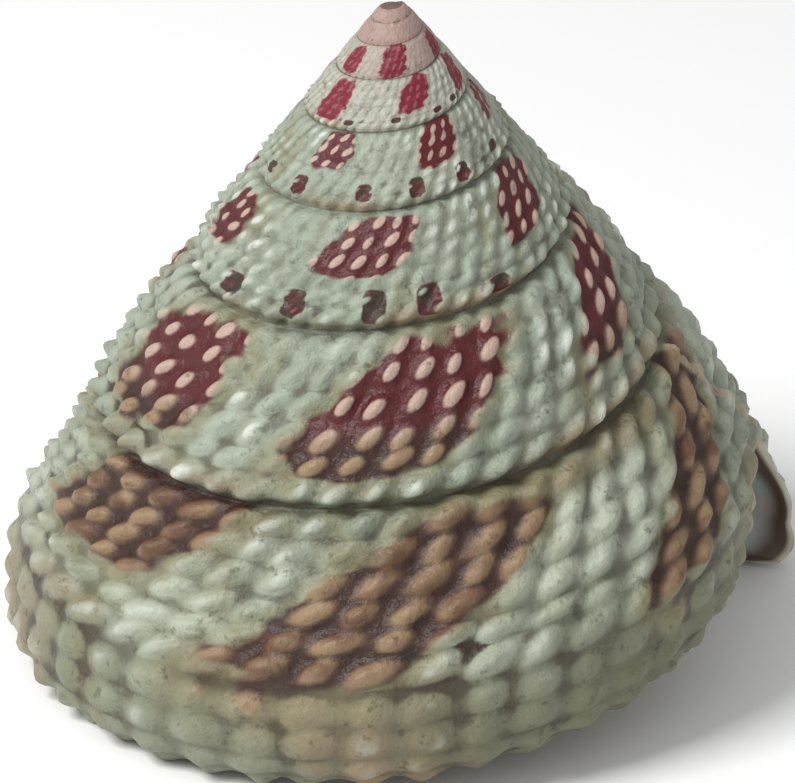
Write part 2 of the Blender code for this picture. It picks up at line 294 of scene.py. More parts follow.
def rows_on_wall(side, column):
    """The same for the wall, where the rows' numbers go on."""
    for row, place in enumerate(WALL_ROWS):
        off = side - place - WALL_ROW_SHIFT * wander(column, row, "wall")
        wave, size = bead_row(column - BEAD_TILT * off, row + len(SPIRE_ROWS), CORD_SHARE)
        yield WALL_ROW_HEIGHT * size, hill(off, WALL_ROW_WIDTH) * wave


def cords_on_base(side, column):
    """The same for the base, whose cords hardly sink between two beads."""
    for row, place in enumerate(BASE_CORDS):
        wave, size = bead_row(column, row + len(SPIRE_ROWS) + len(WALL_ROWS), BASE_CORD_SHARE)
        yield BASE_CORD_HEIGHT * size, hill(side - place, BASE_CORD_WIDTH) * wave


print("rows on the side, the wall and the base:", len(SPIRE_ROWS), len(WALL_ROWS), len(BASE_CORDS))

# %% [markdown]
# ### All the relief
# Beads, soft lumps and an old growth crest stand up from the bare form, and a groove sinks in along
# each suture. The relief fades out at the lip and in the middle of the base.

# %% All the relief
GROOVE_DEPTH = 0.020
GROOVE_WIDTH = 0.036
LUMPS = 0.008
LUMPS_ALONG = 0.9
LUMPS_DOWN = 5.0
CREST_TURN = -0.923
CREST_FALL = 0.047              # turns by which the crest falls back from the suture to the edge
CREST_WIDTH = 0.007
CREST_HEIGHT = 0.016
CREST_END = 0.9
CREST_END_FADE = 0.3
LIP_FADE = 0.012
MIDDLE_FADE = 0.1
PROFILE_STEP = 0.004
TINY = 1e-9


def crest(turn, side):
    """A thin ridge left where growth once stopped: 1 along a line down the last whorl's side."""
    line = hill(turn - CREST_TURN + CREST_FALL * side, CREST_WIDTH)
    return line * hill(np.maximum(side - CREST_END, 0), CREST_END_FADE)


def relief(turn, side):
    """Height of the relief as a share of the whorl's radius, a sum over all rows. Then the bead, 0 to 1."""
    height = np.zeros(np.broadcast(turn, side).shape)
    beads = np.zeros(height.shape)
    column = BEADS * (turn - lean_of(side))
    for rows in (rows_on_side(turn, side, column), rows_on_wall(side, column), cords_on_base(side, column)):
        for tall, bead in rows:
            height += tall * bead
            beads = np.maximum(beads, bead)
    groove = np.exp(-(side / GROOVE_WIDTH) ** 2)
    groove = groove + np.exp(-((side - 1) / GROOVE_WIDTH) ** 2) * (side <= 1) * (turn <= -1)
    lumps = LUMPS * wander(column * LUMPS_ALONG, side * LUMPS_DOWN, "lumps") * hill(side - 0.5, 0.5)
    return height + lumps + CREST_HEIGHT * crest(turn, side) - GROOVE_DEPTH * groove, beads


def profile(turn, side):
    """Radius and depth with the relief, which stands square to the bare profile."""
    radius, depth = bare_profile(turn, side)
    before_radius, before_depth = bare_profile(turn, side - PROFILE_STEP)
    after_radius, after_depth = bare_profile(turn, side + PROFILE_STEP)
    along_radius, along_depth = after_radius - before_radius, after_depth - before_depth
    length = np.hypot(along_radius, along_depth) + TINY
    fade = np.clip((2 - side) / MIDDLE_FADE, 0, 1) * np.clip((lean_of(side) - turn) / LIP_FADE, 0, 1)
    lift = relief(turn, side)[0] * side_end(turn)[0] * fade
    return radius + along_depth / length * lift, depth - along_radius / length * lift


last_whorl = relief(np.linspace(-1, 0, 8 * BEADS)[:, None], np.linspace(0, 1, 80))[0]
print("highest bead of the last whorl, as a share of its radius:", round(float(last_whorl.max()), 3))

# %% [markdown]
# ## The colour flames
# The snail's mantle makes colour at a few fixed places at a time, so flames follow each other at nearly
# equal steps and slant with growth. They could be painted as a picture, but a patch in turns and sides
# follows the growth and stays sharp from close by. Each flame is given by the turn at its upper and
# lower end, the sides between which it runs, and half its width in turns. A spot is given by its turn
# and its sides. Round the back, which can't be seen, flames go on at even steps.

# %% Flames and spots
FLAMES = (
    (-0.935, -0.840, 0.02, 0.98, 0.031), (-0.760, -0.648, 0.06, 1.02, 0.050),
    (-0.580, -0.520, -0.08, 0.66, 0.056), (-1.935, -1.862, 0.02, 0.74, 0.038),
    (-1.750, -1.678, 0.08, 0.84, 0.060), (-1.545, -1.515, 0.06, 0.80, 0.050),
    (-2.893, -2.855, 0.00, 0.66, 0.038), (-2.695, -2.662, 0.07, 0.57, 0.046),
    (-2.500, -2.482, 0.12, 0.60, 0.033), (-3.950, -3.930, 0.05, 0.50, 0.028),
    (-3.800, -3.770, -0.05, 0.58, 0.038), (-3.612, -3.600, 0.00, 0.50, 0.033),
    (-4.780, -4.745, 0.00, 0.72, 0.038), (-4.575, -4.550, 0.02, 0.88, 0.036),
    (-4.930, -4.900, 0.05, 0.85, 0.030), (-5.720, -5.700, -0.10, 1.05, 0.048),
    (-5.560, -5.545, 0.10, 0.95, 0.034), (-5.925, -5.905, 0.10, 1.05, 0.038),
)
HIDDEN_FLAMES = (-0.085, -0.225, -0.365)
HIDDEN_WHORLS = (0, 1, 2, 3, 4)
HIDDEN_LEAN = 0.055
HIDDEN_SIDES = (0.05, 0.74)
HIDDEN_HALF_WIDTH = 0.042
SPOTS = (
    (-2.557, 0.68, 0.90), (-2.615, 0.66, 0.95), (-2.678, 0.64, 0.97), (-2.742, 0.66, 0.96),
    (-2.803, 0.80, 0.98), (-3.507, 0.66, 0.84), (-3.580, 0.62, 0.92), (-3.660, 0.64, 0.88),
    (-3.728, 0.62, 0.92), (-3.799, 0.64, 0.93), (-3.876, 0.68, 0.84), (-4.626, 0.78, 0.90),
    (-4.712, 0.74, 0.86), (-4.795, 0.78, 0.90), (-4.866, 0.74, 0.88),
)
SPOT_HALF_WIDTH = 0.0115
SQUARENESS = 4
OVERRUN = 0.2                   # how far a patch's slant goes on past its ends
FAR_OUTSIDE = -9.0


def patch(turn, side, turns, sides, half_width):
    """1 in the middle of a leaning patch, 0 on its outline and below 0 outside.

    It is one less the distance from the middle, measured by the norm of a rounded square.
    """
    along = np.clip((side - sides[0]) / (sides[1] - sides[0]), -OVERRUN, 1 + OVERRUN)
    across = (turn - turns[0] - (turns[1] - turns[0]) * along) / half_width
    down = (side - (sides[0] + sides[1]) / 2) / ((sides[1] - sides[0]) / 2)
    return 1 - (np.abs(across) ** SQUARENESS + np.abs(down) ** SQUARENESS) ** (1 / SQUARENESS)


def flame_field(turn, side):
    """The highest of all flames, seen and continued round the back."""
    field = np.full(turn.shape, FAR_OUTSIDE)
    for upper, lower, start, end, half_width in FLAMES:
        field = np.maximum(field, patch(turn, side, (upper, lower), (start, end), half_width))
    for middle in [flame - whorl for whorl in HIDDEN_WHORLS for flame in HIDDEN_FLAMES]:
        turns = (middle - HIDDEN_LEAN / 2, middle + HIDDEN_LEAN / 2)
        field = np.maximum(field, patch(turn, side, turns, HIDDEN_SIDES, HIDDEN_HALF_WIDTH))
    return field


def spot_field(turn, side):
    """The highest of all spots. Each one moves to the nearest gap between two beads."""
    field = np.full(turn.shape, FAR_OUTSIDE)
    for place, start, end in SPOTS:
        ahead = lean_of((start + end) / 2)
        place = (np.floor(BEADS * (place - ahead)) + 0.5) / BEADS + ahead
        field = np.maximum(field, patch(turn, side, (place, place), (start, end), SPOT_HALF_WIDTH))
    return field


print("flames:", len(FLAMES), "seen and", len(HIDDEN_FLAMES) * len(HIDDEN_WHORLS), "round the back,",
      "spots:", len(SPOTS))

# %% [markdown]
# ## The shell's outer surface
# One long strip winds from the tip to the lip, and its lower border is sewn to the next whorl's upper
# border, point to point. Loose whorls that overlap would be simpler, but they would leave slits at the
# sutures. The early whorls are tiny and take fewer columns, in steps of two.

# %% Tools for the strip
FIRST_TURN = -8
BEAD_STEPS = 8
STEPS = BEADS * BEAD_STEPS
SEWN_STEPS = STEPS + BEAD_LEAN * BEAD_STEPS
ROWS = -FIRST_TURN * STEPS
EDGE_ROW = ROWS - SEWN_STEPS    # the last row whose lower border is sewn
STARTS = np.arange(-ROWS, 1) / STEPS


class Strip:
    """Points of the surface, gathered grid by grid."""

    def __init__(self):
        self.points = []
        self.count = 0

    def add(self, points):
        """Keeps a grid of points and gives a grid of their numbers."""
        ids = self.count + np.arange(points[..., 0].size).reshape(points.shape[:-1])
        self.points.append(points.reshape(-1, 3))
        self.count += ids.size
        return ids


def strip_values(starts, sides):
    """Turn and side of each grid point: the rows lean with the columns of beads."""
    side = np.broadcast_to(sides, (len(starts), len(sides)))
    return starts[:, None] + lean_of(side), side


def surface_points(turn, side):
    """Finished points of the outer surface."""
    return placed(*profile(turn, side), angle_of(turn, side))


def quads(*grids):
    """The four corners of every cell, in the order that faces outwards, for ids, turns and sides alike."""
    return [np.stack([grid[:-1, :-1], grid[:-1, 1:], grid[1:, 1:], grid[1:, :-1]], axis=-1).reshape(-1, 4)
            for grid in grids]


def doubled(grids, next_grids):
    """Triangles between a section's last row and the next section's first, which has twice the columns."""
    def corners(row, after):
        left, right = row[:-1], row[1:]
        first, middle, last = after[:-1:2], after[1::2], after[2::2]
        return np.concatenate([np.stack(three, axis=-1) for three in
                               ((left, right, middle), (left, middle, first), (right, last, middle))])
    return [corners(grid[-1], after[0]) for grid, after in zip(grids, next_grids)]


print("rows of the strip:", ROWS + 1)

# %% [markdown]
# ### Whorls, base and tip
# The strip's first column is the seam, and the last column is the seam again, one turn and two beads
# later. On the last turn there is nothing to sew to, so the base goes on from there to one middle point.
# A ring of triangles closes the tip.

# %% Whorls, base and tip
SECTIONS = ((-8, 5), (-7, 10), (-5, 20), (-3, 40))      # first turn and columns of each section
BASE_COLUMNS = 80
TIP_HEIGHT = 0.28


def whorl_grids(strip, seam):
    """Ids, turns and sides of every section of the whorls."""
    ends = [ROWS + first * STEPS for first, columns in SECTIONS[1:]] + [ROWS + 1]
    grids = []
    for (first, columns), end in zip(SECTIONS, ends):
        begin = ROWS + first * STEPS
        sewn = min(end, EDGE_ROW + 1)
        turn, side = strip_values(STARTS[begin:end], np.linspace(0, 1, columns + 1))
        ids = np.empty(turn.shape, int)
        ids[:, 0] = seam[begin:end]
        ids[:, 1:-1] = strip.add(surface_points(turn[:, 1:-1], side[:, 1:-1]))
        ids[:sewn - begin, -1] = seam[begin + SEWN_STEPS:sewn + SEWN_STEPS]
        grids.append((ids, turn, side))
    return grids


def base_grid(strip, seam):
    """Ids, turns and sides from the edge to the base's middle, a point that all rows share."""
    turn, side = strip_values(STARTS[EDGE_ROW:], np.linspace(1, 2, BASE_COLUMNS + 1))
    ids = np.empty(turn.shape, int)
    ids[:, :-1] = strip.add(surface_points(turn[:, :-1], side[:, :-1]))
    ids[0, 0] = seam[-1]
    ids[:, -1] = strip.add(placed(np.zeros(1), np.array([MIDDLE_DEPTH]), np.zeros(1)))
    return ids, turn, side


def tip_cells(strip, seam, first_ids):
    """Triangles from the ring where the coil starts to one point above its middle."""
    radius, depth = suture(STARTS[0] + 0.5)
    top = strip.add(placed(np.zeros(1), np.array([depth - TIP_HEIGHT * radius]), np.zeros(1)))
    ring = np.concatenate([seam[:SEWN_STEPS], first_ids[0, :0:-1]])
    ids = np.stack([np.full(len(ring), top[0]), ring, np.roll(ring, -1)], axis=-1)
    return ids, np.full(ids.shape, STARTS[0]), np.zeros(ids.shape)


def shell_surface():
    """Points, four-cornered and three-cornered cells, each cell with its corners' turns and sides."""
    strip = Strip()
    seam = strip.add(surface_points(*strip_values(STARTS, np.array([0.0]))))[:, 0]
    grids = whorl_grids(strip, seam)
    base = base_grid(strip, seam)
    grids[-1][0][-SEWN_STEPS:, -1] = base[0][1:, 0]
    fours = [quads(*grid) for grid in grids]
    fours.append(quads(*[values[:, :-1] for values in base]))
    threes = [doubled(*pair) for pair in zip(grids, grids[1:])]
    threes.append([np.stack([values[:-1, -2], values[:-1, -1], values[1:, -2]], axis=-1) for values in base])
    threes.append(tip_cells(strip, seam, grids[0][0]))
    fours, threes = [[np.concatenate(parts) for parts in zip(*cells)] for cells in (fours, threes)]
    return np.concatenate(strip.points), fours, threes


# %% [markdown]
# ### From grids to a mesh
# What the colours need to know is kept on the corners of the faces: turn, side, bead height, flame,
# spot and crest. A corner knows which whorl it belongs to, which a point on the seam doesn't.

# %% Make the outer surface
def add_piece(name, points, faces):
    """A smooth mesh of the points and faces, on an object at the origin."""
    data = bpy.data.meshes.new(name)
    data.from_pydata(points, [], faces)
    data.polygons.foreach_set("use_smooth", np.ones(len(data.polygons), bool))
    piece = bpy.data.objects.new(name, data)
    bpy.context.scene.collection.objects.link(piece)
    return piece


def store(piece, name, values, domain="CORNER"):
    """One number for each face corner, or for each point."""
    attribute = piece.data.attributes.new(name, "FLOAT", domain)
    attribute.data.foreach_set("value", values.astype(np.float32))


points, fours, threes = shell_surface()
outer = add_piece("outer_surface", points, fours[0].tolist() + threes[0].tolist())
corner_turn = np.concatenate([fours[1].ravel(), threes[1].ravel()])
corner_side = np.concatenate([fours[2].ravel(), threes[2].ravel()])
store(outer, "turn", corner_turn)
store(outer, "side", corner_side)
store(outer, "bead", relief(corner_turn, corner_side)[1])
store(outer, "flame_depth", flame_field(corner_turn, corner_side))
store(outer, "spot_depth", spot_field(corner_turn, corner_side))
store(outer, "growth_crest", crest(corner_turn, corner_side))
print("outer surface:", len(points), "points,", len(outer.data.polygons), "faces")

# %% [markdown]
# ## The mouth
# The lip turns inwards and the hollow winds back up the coil, lined with mother of pearl. A Boolean
# could cut it, but it would leave rough triangles in a smooth lining. So it is one surface of rings,
# which run from the lip's outline to the hollow's first section and then along the hollow.

# %% The hollow and the lip
HOLLOW_TURNS = 1.30
HOLLOW_CLOSING = 0.2            # turns over which the hollow's end closes
HOLLOW_CENTRE_RADIUS = 0.63
HOLLOW_CENTRE_HEIGHT = 3.6
HOLLOW_SIZE = (5.6, 2.55)
HOLLOW_TAPER = 0.25
HOLLOW_TILT = math.radians(-6)
LIP_SAMPLES = 400
UNDER_SAMPLES = 200
LIP_POINTS = 160


def hollow_centre(turn):
    """Radius and depth of the hollow's middle: a share of the edge's radius, and a height above the base."""
    edge = np.where(turn > -1, over_last_turn(EDGE_RADIUS, turn), EDGE_RADIUS[0] * GROWTH ** (turn + 1))
    low = np.where(turn > -1, over_last_turn(BASE_DEPTH, turn), BASE_DEPTH[0] * GROWTH ** (turn + 1))
    return HOLLOW_CENTRE_RADIUS * edge, low - HOLLOW_CENTRE_HEIGHT * GROWTH ** np.minimum(turn, 0)


def hollow_section(turn, place):
    """Radius and depth of the hollow's wall: an ellipse that is lower towards the axis."""
    scale = GROWTH ** np.minimum(turn, 0)
    wide = HOLLOW_SIZE[0] * scale * np.cos(place)
    tall = HOLLOW_SIZE[1] * scale * np.sin(place) * (1 - HOLLOW_TAPER + HOLLOW_TAPER * np.cos(place))
    radius, depth = hollow_centre(turn)
    return (radius + wide * math.cos(HOLLOW_TILT) - tall * math.sin(HOLLOW_TILT),
            depth - wide * math.sin(HOLLOW_TILT) - tall * math.cos(HOLLOW_TILT))


def lip_outline():
    """Radius, depth and angle round the mouth, at even steps.

    It runs down the lip, along its base, and back under the place where the last whorl starts.
    """
    lip_side = np.linspace(0, 2, LIP_SAMPLES)
    side = np.concatenate([lip_side, np.linspace(2, 1, UNDER_SAMPLES)])
    turn = np.concatenate([lean_of(lip_side), np.full(UNDER_SAMPLES, -1.0)])
    radius, depth = profile(turn, side)
    angle = angle_of(turn, side) - 2 * math.pi * (turn < 0)
    length = np.concatenate([[0], np.cumsum(np.hypot(np.diff(radius), np.diff(depth)))])
    even = np.linspace(0, length[-1], LIP_POINTS, endpoint=False)
    return [np.interp(even, length, values) for values in (radius, depth, angle)]


print("hollow's middle at the lip, mm from the axis and down:",
      [round(float(size), 2) for size in hollow_centre(np.array(0.0))])

# %% [markdown]
# ### Rings of the mouth
# The lip's face is rounded: its rings sink in by a quarter of a cosine. Along the hollow the rings turn
# square to the coil, and over the last part they shrink to a point by a quarter circle.

# %% Make the mouth
LIP_RINGS = 14
LIP_RECESS = math.radians(9)
HOLLOW_RINGS = 60
STRAIGHTENING = 9               # how quickly the rings turn square to the coil


def mouth_surface():
    """Rings of points: from the lip's outline to the hollow's wall, then along the hollow."""
    radius, depth, angle = lip_outline()
    centre_radius, centre_depth = hollow_centre(np.array(0.0))
    place = np.arctan2(-(depth - centre_depth) / HOLLOW_SIZE[1], (radius - centre_radius) / HOLLOW_SIZE[0])
    inner_radius, inner_depth = hollow_section(np.zeros(LIP_POINTS), place)
    share = np.linspace(0, 1, LIP_RINGS)[:, None]
    rounded = 1 - np.cos(share * math.pi / 2)
    lip = placed(radius + (inner_radius - radius) * share, depth + (inner_depth - depth) * share,
                 angle + LIP_RECESS * rounded)
    turns = -np.linspace(0, HOLLOW_TURNS, HOLLOW_RINGS)[1:, None]
    wall_radius, wall_depth = hollow_section(turns, place[None, :])
    centre_radius, centre_depth = hollow_centre(turns)
    closing = np.sqrt(1 - (1 - between(turns, (-HOLLOW_TURNS, HOLLOW_CLOSING - HOLLOW_TURNS))) ** 2)
    uneven = (angle + LIP_RECESS - LIP_ANGLE) * np.exp(turns * STRAIGHTENING)
    wall_angle = LIP_ANGLE - 2 * math.pi * turns + uneven
    hollow = placed(centre_radius + (wall_radius - centre_radius) * closing,
                    centre_depth + (wall_depth - centre_depth) * closing, wall_angle)
    return np.concatenate([lip, hollow])


def ring_faces(rings, sides):
    """Cells between closed rings of points."""
    ids = np.arange(rings * sides).reshape(rings, sides)
    ids = np.concatenate([ids, ids[:, :1]], axis=1)
    return np.stack([ids[:-1, :-1], ids[1:, :-1], ids[1:, 1:], ids[:-1, 1:]], axis=-1).reshape(-1, 4)


mouth_rings = mouth_surface()
mouth = add_piece("mouth", mouth_rings.reshape(-1, 3), ring_faces(*mouth_rings.shape[:2]).tolist())
store(mouth, "inwards", np.repeat(np.linspace(0, 1, len(mouth_rings)), LIP_POINTS), "POINT")
print("mouth:", len(mouth_rings), "rings of", LIP_POINTS, "points")


# %% [markdown]
# ## Materials
# Lime shell is dull to satin, with colour that lies in the shell itself. A picture could carry the
# colours, but nodes give them at any distance and follow the beads. Colours are mixed by small sums of
# numbers that vary over the surface. The two numbers of a smooth step say where it starts and ends, and
# the factor after it says how much of a tone is laid on.

# %% Tools for materials
class Value:
    """A number, colour or vector that varies over the surface. Arithmetic on it adds nodes."""

    def __init__(self, graph, socket):
        self.graph, self.socket = graph, socket

    def maths(self, operation, *others):
        """A Math node with this value first."""
        return self.graph.node("ShaderNodeMath", {"operation": operation}, dict(enumerate((self,) + others)))

    def __add__(self, other):
        return self.maths("ADD", other)

    def __sub__(self, other):
        return self.maths("SUBTRACT", other)

    def __rsub__(self, other):
        return self.maths("MULTIPLY_ADD", -1.0, other)

    def __mul__(self, other):
        return self.maths("MULTIPLY", other)

    __radd__ = __add__
    __rmul__ = __mul__

    def smooth(self, low, high):
        """0 at low, 1 at high, and a smooth step between."""
        settings = {"interpolation_type": "SMOOTHSTEP"}
        return self.graph.node("ShaderNodeMapRange", settings, {0: self, 1: low, 2: high})


class Graph:
    """A material and its nodes."""

    def __init__(self, name):
        self.material = bpy.data.materials.new(name)
        self.material.use_nodes = True
        self.tree = self.material.node_tree
        self.shader = self.tree.nodes["Principled BSDF"]

    def node(self, kind, settings, inputs, output=0):
        """Adds a node: its settings first, then its values and links."""
        node = self.tree.nodes.new(kind)
        for name, setting in settings.items():
            setattr(node, name, setting)
        for name, value in inputs.items():
            self.give(node.inputs[name], value)
        return Value(self, node.outputs[output])

    def give(self, socket, value):
        """Links a value to a socket, or sets the socket to a constant."""
        if isinstance(value, Value):
            self.tree.links.new(value.socket, socket)
        else:
            socket.default_value = value

    def attribute(self, name):
        """A number that is stored on the mesh."""
        return self.node("ShaderNodeAttribute", {"attribute_name": name}, {}, "Fac")

    def noise(self, where, scale, detail=3.0, roughness=0.55):
        """Noise from 0 to 1, with most of it near one half."""
        return self.node("ShaderNodeTexNoise", {}, {"Vector": where, "Scale": scale, "Detail": detail,
                                                    "Roughness": roughness})

    def mix(self, share, first, second, blend="MIX"):
        """A colour between two, or the first one multiplied by the second."""
        settings = {"data_type": "RGBA", "blend_type": blend}
        return self.node("ShaderNodeMix", settings, {0: share, 6: first, 7: second}, 2)


def srgb(red, green, blue):
    """A colour as seen on a screen, 0 to 255, in linear light."""
    seen = np.array([red, green, blue]) / 255
    linear = np.where(seen <= 0.04045, seen / 12.92, ((seen + 0.055) / 1.055) ** 2.4)
    return (*[float(value) for value in linear], 1.0)


# %% [markdown]
# ### What the shell's colours share
# The turn, the side and the bead height come from the mesh. Noise in Object coordinates gives clouds and
# grain, and noise counted in beads gives outlines that wander from bead to bead. Scales are in cells
# a metre.

# %% What the shell's colours share
BEADS_DOWN = 7.0
RAGGED_SCALE = 0.8              # in cells a bead
CLOUD_SCALE = 160.0
GRAIN_SCALE = 900.0
BODY_BEGINS = (-1.05, -0.90)
EARLY_ENDS = (-3.6, -4.4)
LATE_BEGINS = (-2.2, -1.1)


class ShellCoat(Graph):
    """The outer surface's material, with the numbers that its layers share."""

    def __init__(self):
        super().__init__("beaded shell")
        self.where = self.node("ShaderNodeTexCoord", {}, {}, "Object")
        self.turn, self.side = self.attribute("turn"), self.attribute("side")
        self.in_beads = self.stretched(float(BEADS), BEADS_DOWN)
        self.clouds = self.noise(self.where, CLOUD_SCALE)
        self.grain = self.noise(self.where, GRAIN_SCALE, 4.0)
        self.ragged = self.noise(self.in_beads, RAGGED_SCALE, 1.0) - 0.5
        self.body = self.turn.smooth(*BODY_BEGINS)
        self.early = self.turn.smooth(*EARLY_ENDS)
        self.late = self.turn.smooth(*LATE_BEGINS)
        self.height = self.attribute("bead") + (self.grain - 0.5) * 0.3

    def stretched(self, along, down):
        """Turn and side as a place for noise, with so many cells a turn and a side."""
        return self.node("ShaderNodeCombineXYZ", {}, {0: self.turn * along, 1: self.side * down, 2: 0.0})


# %% [markdown]
# ### The ground
# The ground is pale greenish grey with paler clouds and streaks of olive along the growth lines, warmer
# on the early whorls and olive towards the rim, where the olive is partly painted shade on the lower edge,
# which faces down. A brownish band follows the last suture. Between the beads the colour is darkened as
# painted shade, the bead tops are chalky in places, partly as a painted highlight, and the worn tip is dull
# pink.

# %% The ground
GROUND = srgb(140, 149, 132)
GROUND_PALE = srgb(176, 184, 168)
GROUND_OLIVE = srgb(128, 122, 88)
GROUND_EARLY = srgb(178, 174, 162)
RIM_OLIVE_AND_SHADE = srgb(94, 90, 62)
OLIVE_BROWN = srgb(112, 98, 64)
TAN = srgb(144, 119, 90)
FURROW_SHADE_AND_DIRT = srgb(84, 86, 64)
PIT = srgb(58, 46, 32)
CHALK_AND_HIGHLIGHT = srgb(206, 212, 200)
TIP_PINK = srgb(158, 130, 122)
STREAKS = (26.0, 1.2)           # cells a turn and a side
STAIN_SCALE = 0.16              # in cells a bead
CHALK_SCALE = 260.0
AT_LEFT = (-0.74, -0.58)
RIM_SIDES = (0.80, 1.15)
BAND_SIDES = (0.10, 0.26)
STAIN_SIDES = (0.75, 0.95)
BELOW_EDGE = (0.90, 1.10)
WORN_TIP = (-5.2, -6.1)


def ground_tones(coat):
    """The tones that don't depend on the beads, one laid over the other."""
    ground = coat.mix(coat.clouds.smooth(0.38, 0.62) * (0.35 + coat.body * 0.65), GROUND, GROUND_PALE)
    streaks = coat.noise(coat.stretched(*STREAKS), 1.0, 2.0)
    ground = coat.mix(streaks.smooth(0.50, 0.68) * 0.6, ground, GROUND_OLIVE)
    ground = coat.mix(coat.body * 0.18, ground, GROUND_OLIVE)
    ground = coat.mix(coat.early * 0.6, ground, GROUND_EARLY)
    # The olive towards the rim is partly the shell's own colour and partly painted shade on the lower edge,
    # which faces down.
    rim = coat.side.smooth(*RIM_SIDES) * (0.8 - coat.turn.smooth(*AT_LEFT) * 0.45)
    ground = coat.mix(rim, ground, RIM_OLIVE_AND_SHADE)
    band = (1.0 - coat.side.smooth(*BAND_SIDES)) * coat.body * coat.clouds.smooth(0.35, 0.6)
    ground = coat.mix(band * 0.75, ground, OLIVE_BROWN)
    stain = coat.noise(coat.in_beads, STAIN_SCALE, 1.0).smooth(0.48, 0.62) * coat.side.smooth(*STAIN_SIDES)
    return coat.mix(stain * 0.6, ground, TAN)


def ground_between_beads(coat, ground):
    """Painted shade in the furrows and gaps between the beads, chalky bead tops that are partly a painted
    highlight, and the pink tip.
    """
    # Painted shade: the furrows between the beads are darkened, more so on the later whorls.
    furrow_shade = 1.0 - coat.height.smooth(0.0, 0.40)
    ground = coat.mix(furrow_shade * (0.30 + coat.late * 0.35 - coat.body * 0.08), ground, FURROW_SHADE_AND_DIRT)
    # Painted shade: the narrowest gaps between the beads are darker still.
    gap = 1.0 - (coat.height + coat.ragged * 0.35).smooth(0.0, 0.20)
    gap = gap * (0.25 + coat.late * 0.40 - coat.body * 0.25)
    ground = coat.mix(gap * (1.0 - coat.side.smooth(*BELOW_EDGE) * 0.65), ground, PIT)
    # Chalky bead tops, partly the shell's own worn chalk and partly a painted highlight.
    chalky = coat.noise(coat.where, CHALK_SCALE, 2.0).smooth(0.50, 0.66) * coat.height.smooth(0.35, 0.80)
    ground = coat.mix(chalky * (0.8 - coat.body * 0.4), ground, CHALK_AND_HIGHLIGHT)
    return coat.mix(coat.turn.smooth(*WORN_TIP) * 0.9, ground, TIP_PINK)


# %% [markdown]
# ### Flames and spots on the ground
# A flame's outline wanders with noise. Inside it the furrows are dark, partly as painted shade, and the
# bead tops stay pale, partly as a painted highlight. Flames go from crimson near the tip through maroon
# to brown on the last whorl. The spots are dark gaps between two beads.

# %% Flames and spots on the ground
CRIMSON = srgb(114, 14, 38)
MAROON = srgb(80, 18, 18)
BROWN = srgb(102, 72, 51)
DARK_BROWN = srgb(54, 29, 20)
CREAM_AND_HIGHLIGHT = srgb(178, 152, 138)
LOWER_SIDES = (0.45, 0.70)
LOWER_TURNS = (-2.1, -1.9)
HALO_TURNS = (-2.4, -1.6)


def flame_colour(coat, lower):
    """Dark furrows, partly painted shade, and paler bead tops, partly a painted highlight. Lower is 1 where
    the flame turns brown towards the rim.
    """
    deep = coat.mix(lower, MAROON, DARK_BROWN)
    deep = coat.mix(coat.early, coat.mix(coat.body, deep, DARK_BROWN), CRIMSON)
    brown_beads = coat.mix((coat.ragged + 0.5).smooth(0.35, 0.65), BROWN, TAN)
    raised = coat.mix(coat.body, coat.mix(lower, CREAM_AND_HIGHLIGHT, TAN), brown_beads)
    # Painted highlight and shade, in part: bead tops get the paler colour and the furrows the deep one.
    top = coat.height.smooth(0.42, 0.68) * (1.0 - lower) + coat.height.smooth(0.22, 0.62) * lower
    top = top * (1.0 - coat.body) + coat.height.smooth(0.08, 0.54) * coat.body
    return coat.mix(top * (1.0 - coat.early * 0.8), deep, raised)


def with_flames(coat, ground):
    """The ground with a faint halo round each flame, the flames, and the spots."""
    edge = coat.attribute("flame_depth") + coat.ragged * 0.75 + (coat.grain - 0.5) * 0.12
    halo = edge.smooth(-0.30, 0.0)
    ground = coat.mix(halo * coat.turn.smooth(*HALO_TURNS) * 0.55, ground, GROUND_OLIVE)
    ground = coat.mix(halo * coat.early * 0.35, ground, TIP_PINK)
    lower = coat.side.smooth(*LOWER_SIDES) * coat.turn.smooth(*LOWER_TURNS)
    colour = coat.mix(edge.smooth(-0.02, 0.14), ground, flame_colour(coat, lower))
    in_spot = (coat.attribute("spot_depth") + coat.ragged * 0.3).smooth(0.0, 0.15)
    spot = coat.mix((coat.ragged + 0.5).smooth(0.4, 0.6), PIT, MAROON)
    return coat.mix(in_spot * (1.0 - coat.height.smooth(0.60, 0.90)), colour, spot)


# %% [markdown]
# ### Wear and painted shade
# Dark patches lie in the gaps between the beads, and painted shadow along the sutures. The growth crest is
# worn pale, and small specks lie all over.

# %% Wear and painted shade
CREST = srgb(176, 164, 138)
PITTED_SIDES = (0.55, 0.75)
PITTED_TURNS = (-2.2, -1.6)
EDGE_SIDES = (0.95, 1.05)
SUTURE_SHADOW_SIDES = (0.0, 0.025)
NEXT_SUTURE_SHADOW_SIDES = (0.97, 1.0)
SEWN_TURNS = (-1.02, -0.98)
PATCH_SCALE = 0.23              # in cells a bead
DIRT_SCALE = 420.0
SPECK_SCALE = 1500.0


